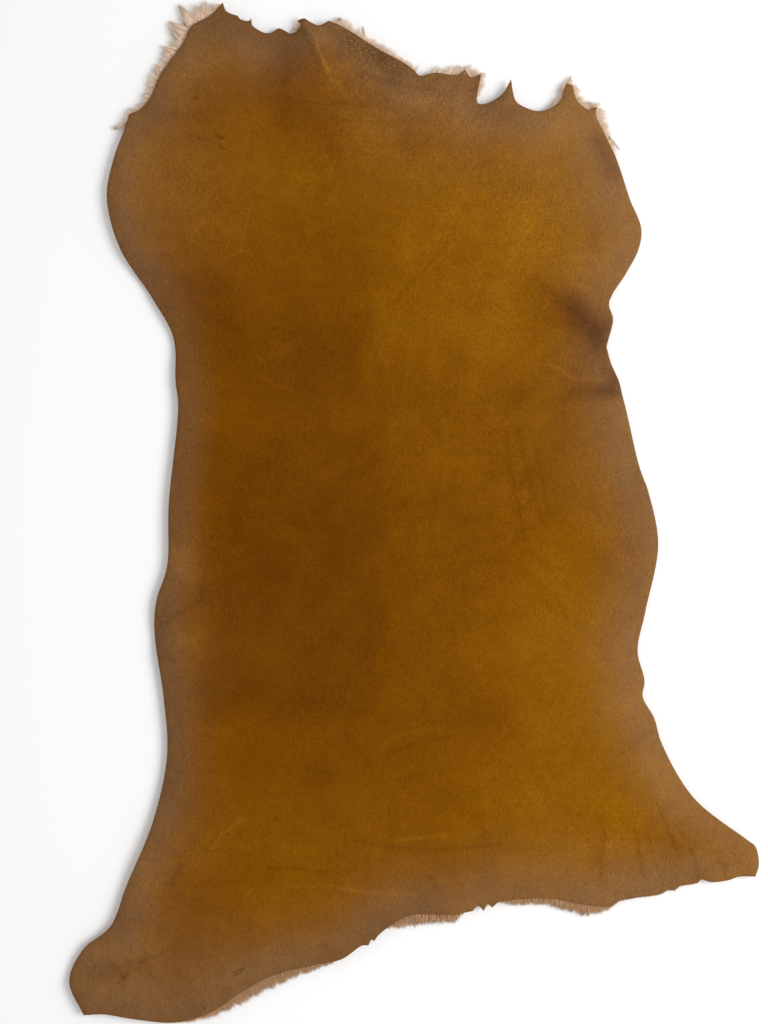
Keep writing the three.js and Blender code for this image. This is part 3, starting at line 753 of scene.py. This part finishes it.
def suede_material():
    material, tree, shader = new_material("suede")
    place = add(tree, "ShaderNodeTexCoord").outputs["Object"]
    flow = {"Vector": place, "Rotation": (0, 0, 0.4), "Scale": (1, 0.55, 1)}
    along = add(tree, "ShaderNodeMapping", flow).outputs["Vector"]
    clouds = noise_node(tree, place, scale=16, detail=4)
    mottle = noise_node(tree, place, scale=60, detail=4)
    grain = noise_node(tree, along, scale=330, detail=3)
    nap = noise_node(tree, along, scale=900, detail=2)
    strength = attribute(tree, "grain")
    turn = {"Vector": place, "Rotation": (0, 0, -0.5), "Scale": (2.2, 1, 1)}
    slanted = add(tree, "ShaderNodeMapping", turn, vector_type="TEXTURE").outputs["Vector"]
    pattern = {"Vector": slanted, "Scale": 330, "Randomness": 1}
    cells = add(tree, "ShaderNodeTexVoronoi", pattern, feature="DISTANCE_TO_EDGE")
    cracks = remap(tree, cells.outputs["Distance"], 0, 0.16, 1, 0)
    cracks = math_node(tree, "MULTIPLY", cracks, attribute(tree, "wrinkle"))

    tone = attribute(tree, "tone")
    for texture, spread in ((clouds, 0.36), (mottle, 0.24)):
        tone = swing(tree, texture, strength, spread, tone)
    inner = ramp(tree, tone, INNER_COLOURS)
    pale = ramp(tree, tone, PALE_COLOURS)
    rim = math_node(tree, "MULTIPLY", attribute(tree, "rim"), remap(tree, clouds, 0.3, 0.7, 1.15, 0.85))
    colour = mix_colour(tree, rim, inner, pale)
    value = attribute(tree, "value")
    for texture, spread in ((grain, 0.32), (nap, 0.8)):
        value = math_node(tree, "MULTIPLY", value, swing(tree, texture, strength, spread, 1))
    value = math_node(tree, "MULTIPLY", value, math_node(tree, "MULTIPLY_ADD", cracks, -0.22, 1))
    colour = mix_colour(tree, 1, colour, grey(tree, value), "MULTIPLY")
    tree.links.new(colour, shader.inputs["Base Color"])

    relief = math_node(tree, "MULTIPLY", grain, strength)
    relief = math_node(tree, "MULTIPLY_ADD", mottle, 0.4, relief)
    relief = math_node(tree, "MULTIPLY_ADD", nap, 0.2, relief)
    relief = math_node(tree, "MULTIPLY_ADD", cracks, -0.5, relief)
    normal = bump(tree, relief, distance=0.0012, strength=0.9)
    tree.links.new(normal, shader.inputs["Normal"])
    shader.inputs["Roughness"].default_value = 0.9
    shader.inputs["Specular IOR Level"].default_value = 0.02
    return material


def wool_material():
    material, tree, shader = new_material("wool")
    place = add(tree, "ShaderNodeTexCoord").outputs["Object"]
    cream, tan = map(srgb, WOOL_COLOURS)
    colour = mix_colour(tree, attribute(tree, "warmth"), cream, tan)
    value = attribute(tree, "value")
    streaks = noise_node(tree, place, scale=450, detail=3)
    value = math_node(tree, "MULTIPLY", value, remap(tree, streaks, 0.25, 0.75, 0.9, 1.1))
    colour = mix_colour(tree, 1, colour, grey(tree, value), "MULTIPLY")
    tree.links.new(colour, shader.inputs["Base Color"])
    normal = bump(tree, streaks, distance=0.0006, strength=0.5)
    tree.links.new(normal, shader.inputs["Normal"])
    shader.inputs["Roughness"].default_value = 0.95
    shader.inputs["Specular IOR Level"].default_value = 0.1
    shader.inputs["Sheen Weight"].default_value = 0.2
    shader.inputs["Sheen Roughness"].default_value = 0.6
    return material


def zones_at(points, zones, level=0.0):
    """A strength that changes towards the middle of each zone."""
    strength = np.full(len(points), level)
    for middle, radius, more in zones:
        strength += more * np.exp(-((np.linalg.norm(points - middle, axis=1) / radius) ** 2))
    return strength


def build_skin(material):
    loop, fringe = trace_outline(EDGE_STEP)
    top_loop = loop - outward_of(loop) * EDGE_ROUNDING
    lines = [row[0] for row in CREASES + MARKS_AND_PAINTED_LIGHT]
    top_inner = fill_points(top_loop, TOP_SPACING, lines)
    top_faces = fill(top_loop, top_inner)
    low_inner = fill_points(loop, UNDER_SPACING)
    low_faces = fill(loop, low_inner)

    flat = np.concatenate([top_loop, top_inner, loop, loop, low_inner])
    distance, near_fringe = nearest_on(loop, fringe, flat)
    height = skin_top(flat, distance, near_fringe)
    n, m = len(loop), len(top_loop) + len(top_inner)
    height[:m] += crease_height(flat[:m])
    for rise, size, seed in UNEVEN:
        height[:m] += rise * noise_at(flat[:m], size, seed)
    height[m : m + n] -= EDGE_ROUNDING
    height[m + n :] -= SKIN_THICKNESS

    ring = np.arange(n)
    following = (ring + 1) % n
    sides = []
    for upper, lower in ((0, m), (m, m + n)):
        sides.append(np.stack([upper + ring, upper + following, lower + following], axis=1))
        sides.append(np.stack([upper + ring, lower + following, lower + ring], axis=1))
    triangles = np.concatenate([top_faces, *sides, low_faces[:, ::-1] + m + n])
    value = marks_and_painted_light_at(flat)
    # painted shade on the cut edge's rounding and sides
    value[m : m + 2 * n] *= PAINTED_CUT_SHADE
    return to_object(
        "suede_skin",
        np.column_stack([flat, height]),
        triangles,
        material,
        tone=tone_at(flat),
        rim=rim_at(flat, distance),
        value=value,
        grain=zones_at(flat, GRAINS, USUAL_GRAIN),
        wrinkle=zones_at(flat, WRINKLES),
    )


def warmth_at(y):
    return 1 - smooth_step(y, WARMTH["to"], WARMTH["from"])


def lump_height(points):
    """Rounded lumps of locks, from 0 between them to 1."""
    size = LUMP["size"]
    places = [Vector((x / size, y / size, 0)) for x, y in points]
    cells = [noise.voronoi(place, distance_metric="DISTANCE", exponent=1)[0][0] for place in places]
    return 1 - smooth_step(np.array(cells), *LUMP["round"])


def lattice_triangles(index, rows):
    """The triangles between the lattice's rows. index has each point's number."""
    triangles = []
    for here, above, row in zip(index, index[1:], rows):
        if row % 2 == 0:
            triangles.append(np.stack([here[:-1], here[1:], above[:-1]], axis=1))
            triangles.append(np.stack([here[1:], above[1:], above[:-1]], axis=1))
        else:
            triangles.append(np.stack([here[:-1], here[1:], above[1:]], axis=1))
            triangles.append(np.stack([here[:-1], above[1:], above[:-1]], axis=1))
    return np.concatenate(triangles)


def build_slab(material):
    """The wool's body: its top follows the skin's underside and its lumpy underside rests on the floor."""
    loop, fringe = trace_outline(EDGE_STEP)
    reach = fringe.max()
    flat, rows, columns = lattice(loop.min(axis=0) - reach, loop.max(axis=0) + reach, SLAB_SPACING)
    distance, near_fringe = nearest_on(loop, fringe, flat)
    within = inside(loop, flat)
    limit = np.maximum(SLAB_FRINGE * near_fringe, 0)
    inset = np.where(near_fringe > 1, -1, SLAB_INSET)
    kept = (within & (distance > inset)) | (~within & (distance < limit))
    index = np.arange(len(flat)).reshape(len(rows), len(columns))
    triangles = lattice_triangles(index, rows)
    triangles = triangles[kept[triangles].all(axis=1)]
    used, triangles = np.unique(triangles, return_inverse=True)
    triangles = triangles.reshape(-1, 3)
    flat, distance, near_fringe, within = flat[used], distance[used], near_fringe[used], within[used]

    edges = np.concatenate([triangles[:, [0, 1]], triangles[:, [1, 2]], triangles[:, [2, 0]]])
    forward = set(map(tuple, edges.tolist()))
    border = np.array([edge for edge in edges.tolist() if (edge[1], edge[0]) not in forward])
    top = roof_at(flat, np.where(within, distance, 0), near_fringe) - SLAB_CLEARANCE
    sunk = SLAB_SINK["share"] * (1 - smooth_step(distance, 0, SLAB_SINK["width"]))
    sunk = np.where(near_fringe > 1, sunk, 0)
    outside = top * SLAB_OUTSIDE["share"] - SLAB_OUTSIDE["fall"] * distance
    top = np.where(within, top * (1 - sunk), outside)
    lumps = lump_height(flat)
    rise, size, seed = SLAB_UNEVEN
    low_level = SLAB_FLOOR + LUMP["depth"] * (1 - lumps) + rise * noise_at(flat, size, seed)
    edge_level = low_level * SLAB_EDGE["share"] + SLAB_EDGE["level"]
    low_level = np.where(distance < SLAB_EDGE["width"], edge_level, low_level)
    low_level = np.maximum(SLAB_LOWEST, np.minimum(low_level, top - SLAB_THINNEST))
    n = len(flat)
    sides = np.concatenate([
        np.column_stack([border[:, 1], border[:, 0], border[:, 0] + n]),
        np.column_stack([border[:, 1], border[:, 0] + n, border[:, 1] + n]),
    ])
    faces = np.concatenate([triangles, triangles[:, ::-1] + n, sides])
    points = np.concatenate([np.column_stack([flat, top]), np.column_stack([flat, low_level])])
    warmth = warmth_at(flat[:, 1])
    value = LUMP_VALUE[0] + LUMP_VALUE[1] * lumps
    return to_object(
        "wool_body",
        points,
        faces,
        material,
        warmth=np.concatenate([warmth, warmth]),
        value=np.concatenate([np.full(n, SLAB_TOP_VALUE), value]),
    )


def fibres(name, material, paths, radii, warmth, value):
    """Closed tubes with pointed tips. paths has every fibre's points, the rest a number for each point."""
    count, steps, _ = paths.shape
    along = np.gradient(paths, axis=1)
    along /= np.linalg.norm(along, axis=2, keepdims=True) + 1e-9
    side = np.cross(along, (0.17, 0.07, 1))
    side /= np.linalg.norm(side, axis=2, keepdims=True) + 1e-9
    up = np.cross(along, side)
    rings = []
    for k in range(FIBRE_SIDES):
        angle = math.tau * k / FIBRE_SIDES
        spoke = math.cos(angle) * side[:, :-1] + math.sin(angle) * up[:, :-1]
        rings.append(paths[:, :-1] + radii[:, :-1, None] * spoke)
    points = np.stack(rings, axis=2).reshape(count, -1, 3)
    points = np.concatenate([points, paths[:, -1:]], axis=1)
    tip = (steps - 1) * FIBRE_SIDES
    pattern = [[2, 1, 0]]
    for s in range(steps - 1):
        for k in range(FIBRE_SIDES):
            a, b = s * FIBRE_SIDES + k, s * FIBRE_SIDES + (k + 1) % FIBRE_SIDES
            if s == steps - 2:
                pattern.append([a, b, tip])
            else:
                pattern += [[a, b, b + FIBRE_SIDES], [a, b + FIBRE_SIDES, a + FIBRE_SIDES]]
    pattern = np.array(pattern)
    triangles = (pattern[None] + (np.arange(count) * (tip + 1))[:, None, None]).reshape(-1, 3)

    def spread(values):
        rings = np.repeat(values[:, :-1], FIBRE_SIDES, axis=1)
        return np.concatenate([rings, values[:, -1:]], axis=1).ravel()

    points = points.reshape(-1, 3)
    return to_object(name, points, triangles, material, warmth=spread(warmth), value=spread(value))


class Edge:
    """Places along the cut edge by their distance from its start."""

    def __init__(self):
        self.loop, self.fringe = trace_outline(1.5)
        self.out = outward_of(self.loop)
        steps = np.linalg.norm(np.roll(self.loop, -1, axis=0) - self.loop, axis=1)
        self.start = np.concatenate([[0], np.cumsum(steps)])
        self.length = self.start[-1]

    def at(self, s):
        """The point, the outward direction and the fringe at each distance."""
        s = np.mod(s, self.length)
        parts = []
        for values in (self.loop[:, 0], self.loop[:, 1], self.out[:, 0], self.out[:, 1], self.fringe):
            parts.append(np.interp(s, self.start, np.append(values, values[0])))
        out = np.stack(parts[2:4], axis=1)
        out /= np.linalg.norm(out, axis=1, keepdims=True)
        return np.stack(parts[:2], axis=1), out, parts[4]


def turned(directions, angles):
    x, y = directions[:, 0], directions[:, 1]
    cos, sin = np.cos(angles), np.sin(angles)
    return np.stack([x * cos - y * sin, x * sin + y * cos], axis=1)


def wavy(starts, ends, steps, wave, turns, rng, sag=0.0):
    """Paths from the starts to the ends, with waves to both sides."""
    t = np.linspace(0, 1, steps)[None, :, None]
    along = ends - starts
    side = np.stack([-along[:, 1], along[:, 0], np.zeros(len(along))], axis=1)
    side /= np.linalg.norm(side, axis=1, keepdims=True) + 1e-9
    phase = rng.uniform(0, math.tau, (len(starts), 1, 1))
    looser = np.sin(math.pi * np.minimum(t + 0.25, 1) / 1.1)
    sway = wave[:, None, None] * np.sin(math.tau * turns * t + phase) * looser
    paths = starts[:, None] + along[:, None] * t + side[:, None] * sway
    paths[:, :, 2] -= sag * np.sin(math.pi * t[..., 0])
    return paths


def tapered(radius, steps):
    t = np.linspace(0, 1, steps)
    return radius[:, None] * (1 - (1 - FIBRE_TIP) * t**2)[None]


def build_fringe(name, material, edge, style, rng):
    """Crimped locks where the wool shows past the skin."""
    parts = []
    steps = style["steps"]
    t = np.linspace(0, 1, steps)[None]
    for s in np.arange(0, edge.length, style["spacing"]):
        place = s + rng.uniform(-FRINGE_JITTER, FRINGE_JITTER) * style["spacing"]
        middle, out, fringe = (part[0] for part in edge.at(np.array([place])))
        if fringe < style["least"] or not style["low"] < middle[1] < style["high"]:
            continue
        count = int(style["fibres"] * (FRINGE_DENSITY[0] + FRINGE_DENSITY[1] * fringe))
        reach = fringe * FIBRE_REACH * rng.uniform(*style["ragged"])
        share = rng.uniform(-1, 1, count)
        base, outs, near = edge.at(place + share * style["width"] / 2)
        roof = roof_at(base, 0, near)[:, None]
        level = rng.uniform(*FRINGE_LEVELS, (count, 1))
        starts = np.column_stack([base - outs * rng.uniform(*FRINGE_ROOTS, (count, 1)), roof * level])
        round_end = np.sqrt(1 - (style["round"] * share) ** 2)
        length = (reach * round_end * rng.uniform(style["soft"], 1.08, count))[:, None]
        lean = np.full(count, rng.uniform(-1, 1) * style["lean"])
        heading = turned(np.repeat(out[None], count, axis=0), lean)
        side = np.array([out[1], -out[0]]) * style["width"] / 2 * rng.uniform(*style["tip"])
        tips = middle + heading * length + side * share[:, None]
        low = roof * level * rng.uniform(*FRINGE_ENDS, (count, 1))
        ends = np.column_stack([tips, np.maximum(FRINGE_LOWEST, low)])
        wave = rng.uniform(*style["wave"], count)
        path = wavy(starts, ends, steps, wave, rng.uniform(*style["turns"]), rng)
        radius = rng.uniform(*style["radius"], count)
        warm = warmth_at(middle[1:2])[0] + rng.uniform(0, 0.3) + rng.uniform(-0.1, 0.1, (count, 1))
        shade = rng.uniform(0.95, 1.05) * rng.uniform(0.88, 1.12, (count, 1)) * (0.94 + 0.12 * level)
        # painted light: lighter on the left, where the skin shades the fringe, and darker on the right, where
        # the key light falls
        shade = shade * (style["light"][0] + style["light"][1] * t) * (1 - PAINTED_SIDE_LIGHT * out[0])
        warm = warm + style["warm"][0] + style["warm"][1] * t + RIGHT_WARMER * out[0]
        parts.append((path, tapered(radius, steps), warm, np.minimum(shade, BRIGHTEST)))
    return fibres(name, material, *(np.concatenate(part) for part in zip(*parts)))


def hidden_fibres(name, material, paths, radii, y, uneven, rng):
    """Fibres clear of the floor. y gives their warmth, which varies by the two numbers of uneven."""
    count = len(paths)
    paths[:, :, 2] = np.maximum(paths[:, :, 2], radii + FLOOR_GAP)
    ones = np.ones((1, HIDDEN_STEPS))
    warmth = (warmth_at(y) + rng.uniform(*uneven, count))[:, None] * ones
    value = rng.uniform(*HIDDEN_VALUE, count)[:, None] * ones
    return fibres(name, material, paths, radii, warmth, value)


def build_rim(material, edge, rng):
    """The wool below the rest of the edge, in the shade of the skin."""
    style = RIM_LOCKS
    count = int(edge.length * style["density"])
    place = rng.uniform(0, edge.length, count)
    middle, out, fringe = edge.at(place)
    roof = roof_at(middle, 0, fringe)
    heading = turned(out, rng.uniform(-style["lean"], style["lean"], count))
    tips = middle + out * rng.uniform(*style["tips"], count)[:, None] + (heading - out) * 3
    roots = middle - out * rng.uniform(*style["roots"], count)[:, None]
    starts = np.column_stack([roots, roof * rng.uniform(*style["levels"], count)])
    ends = np.column_stack([tips, starts[:, 2] * rng.uniform(*style["ends"], count)])
    ends[:, 2] = np.maximum(ends[:, 2], style["lowest"])
    kept = inside(edge.loop, tips) & inside(edge.loop, starts[:, :2])
    middle, starts, ends = middle[kept], starts[kept], ends[kept]
    count = len(middle)
    paths = wavy(starts, ends, HIDDEN_STEPS, rng.uniform(*style["wave"], count), style["turns"], rng)
    radii = tapered(rng.uniform(*style["radius"], count), HIDDEN_STEPS)
    return hidden_fibres("wool_rim", material, paths, radii, middle[:, 1], style["uneven"], rng)


def build_underside(name, material, edge, low, high, rng):
    """Locks that hang from the wool's body between two heights of the tables and lie on the floor."""
    style = UNDER_LOCKS
    loop = edge.loop
    tries = rng.uniform((loop[:, 0].min(), low), (loop[:, 0].max(), high), (UNDER_TUFTS * 3, 2))
    tries = tries[inside(loop, tries)]
    distance, _ = nearest_on(loop, edge.fringe, tries)
    roots = tries[distance > style["inset"]][:UNDER_TUFTS]
    count = len(roots)
    turn, size, seed = style["flow"]
    flow = turn * noise_at(roots, size, seed)
    heading = np.stack([np.cos(flow), np.sin(flow)], axis=1)
    reach = rng.uniform(*style["reach"], count)
    many = TUFT_FIBRES * count
    first = np.repeat(roots, TUFT_FIBRES, axis=0) + rng.uniform(*style["roots"], (many, 2))
    tips = np.repeat(roots + heading * reach[:, None], TUFT_FIBRES, axis=0)
    tips += rng.uniform(*style["tips"], (many, 2))
    distance, near = nearest_on(loop, edge.fringe, first)
    rise = np.minimum(rng.uniform(*style["rise"], many), roof_at(first, distance, near) - SLAB_CLEARANCE)
    starts = np.column_stack([first, rise])
    ends = np.column_stack([tips, rng.uniform(*style["ends"], many)])
    wave = rng.uniform(*style["wave"], many)
    paths = wavy(starts, ends, HIDDEN_STEPS, wave, style["turns"], rng, sag=style["sag"])
    radii = tapered(rng.uniform(*style["radius"], many), HIDDEN_STEPS)
    return hidden_fibres(name, material, paths, radii, first[:, 1], style["uneven"], rng)


def build_strays(material, rng):
    """Single long locks that lie across the others, and a few thin dark hairs."""
    paths, radii, warmth, value = [], [], [], []
    steps = 6
    t = np.linspace(0, 1, steps)[None]
    for start, end, count, width, warm, shade in STRAYS:
        across = np.array([-(end[1] - start[1]), end[0] - start[0]], float)
        across /= np.linalg.norm(across)
        spread = rng.uniform(-1, 1, count)
        first = np.array(start) + across * (spread * width / 2)[:, None]
        last = np.array(end) + across * (spread * width / 6)[:, None]
        last += rng.uniform(-1, 1, (count, 2)) * min(width, 1.5)
        starts = np.column_stack([first, rng.uniform(6, 8.5, count)])
        ends = np.column_stack([last, rng.uniform(3, 7, count)])
        paths.append(wavy(starts, ends, steps, rng.uniform(0.2, 0.7, count), 1.1, rng))
        thickness = DARK_HAIR_RADIUS if shade < 0.5 else LOCK_FIBRE_RADIUS
        radii.append(tapered(np.full(count, thickness), steps))
        warmth.append(np.full((count, steps), warm) + 0 * t)
        value.append(rng.uniform(0.9, 1.1, count)[:, None] * shade * (1 - 0.1 * t))
    made = [np.concatenate(part) for part in (paths, radii, warmth, value)]
    return fibres("wool_strays", material, *made)


# The tables' zero in the frame of the solids, from their skin's highest Y. The outline's topmost point is a
# nib 2 longer than the solids', so all that is built here lies 2 nearer the hind legs than they do.
TOPMOST = max(row[1] for row in OUTLINE)
low_corner, high_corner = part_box("skin")
ORIGIN = np.array([(low_corner.x + high_corner.x) / 2 / MM, high_corner.y / MM - TOPMOST, 0])

suede = suede_material()
wool = wool_material()
skin = build_skin(suede)

rng = np.random.default_rng(SEED)
edge = Edge()
body = build_slab(wool)
wool_pieces = [
    body,
    build_fringe("wool_tufts", wool, edge, TUFTS, rng),
    build_fringe("wool_plush", wool, edge, PLUSH, rng),
    build_rim(wool, edge, rng),
    build_underside("wool_under_rump", wool, edge, 0, 560, rng),
    build_underside("wool_under_neck", wool, edge, 560, 1190, rng),
    build_strays(wool, rng),
    build_fringe("wool_hairs", wool, edge, HAIRS, rng),
]
for piece in wool_pieces:
    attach(piece, "root")
    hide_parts("fleece")
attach(skin, "root")
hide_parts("skin")


def build_floor():
    material, tree, shader = new_material("pale floor")
    shader.inputs["Base Color"].default_value = FLOOR["colour"]
    shader.inputs["Roughness"].default_value = 0.9
    shader.inputs["Specular IOR Level"].default_value = 0.1
    mesh = bpy.data.meshes.new("floor")
    size = FLOOR["size"]
    corners = [(-size, -size, 0), (size, -size, 0), (size, size, 0), (-size, size, 0)]
    mesh.from_pydata(corners, [], [(0, 1, 2, 3)])
    mesh.materials.append(material)
    put_in_scene("floor", mesh)


def add_area_light(name, place, size, power):
    light = bpy.data.lights.new(name, "AREA")
    light.shape = "DISK"
    light.size = size
    light.energy = power
    lamp = put_in_scene(name, light)
    lamp.location = place
    lamp.rotation_euler = (-Vector(place)).to_track_quat("-Z", "Y").to_euler()


def build_light():
    world = bpy.data.worlds.new("studio")
    world.use_nodes = True
    background = world.node_tree.nodes["Background"]
    background.inputs["Color"].default_value = (1, 1, 1, 1)
    background.inputs["Strength"].default_value = WORLD_STRENGTH
    bpy.context.scene.world = world
    add_area_light("key", **KEY_LIGHT)
    bpy.context.scene.view_settings.view_transform = "Standard"


def build_camera():
    """Straight above the skin, with its suede at the photograph's scale."""
    camera = bpy.data.cameras.new("camera")
    camera.lens = LENS
    view = put_in_scene("camera", camera)
    width, height = (MM_PER_PIXEL * side for side in PHOTO_SIZE)
    distance = camera.lens / camera.sensor_width * height * MM
    level = PILE_HEIGHT + PIECE_GAP + SKIN_THICKNESS
    centre = np.array([width / 2 - PHOTO_ORIGIN[0] * MM_PER_PIXEL, height / 2, level])
    view.location = Vector((centre + ORIGIN) * MM) + Vector((0, 0, distance))
    bpy.context.scene.camera = view


build_floor()
build_light()
build_camera()
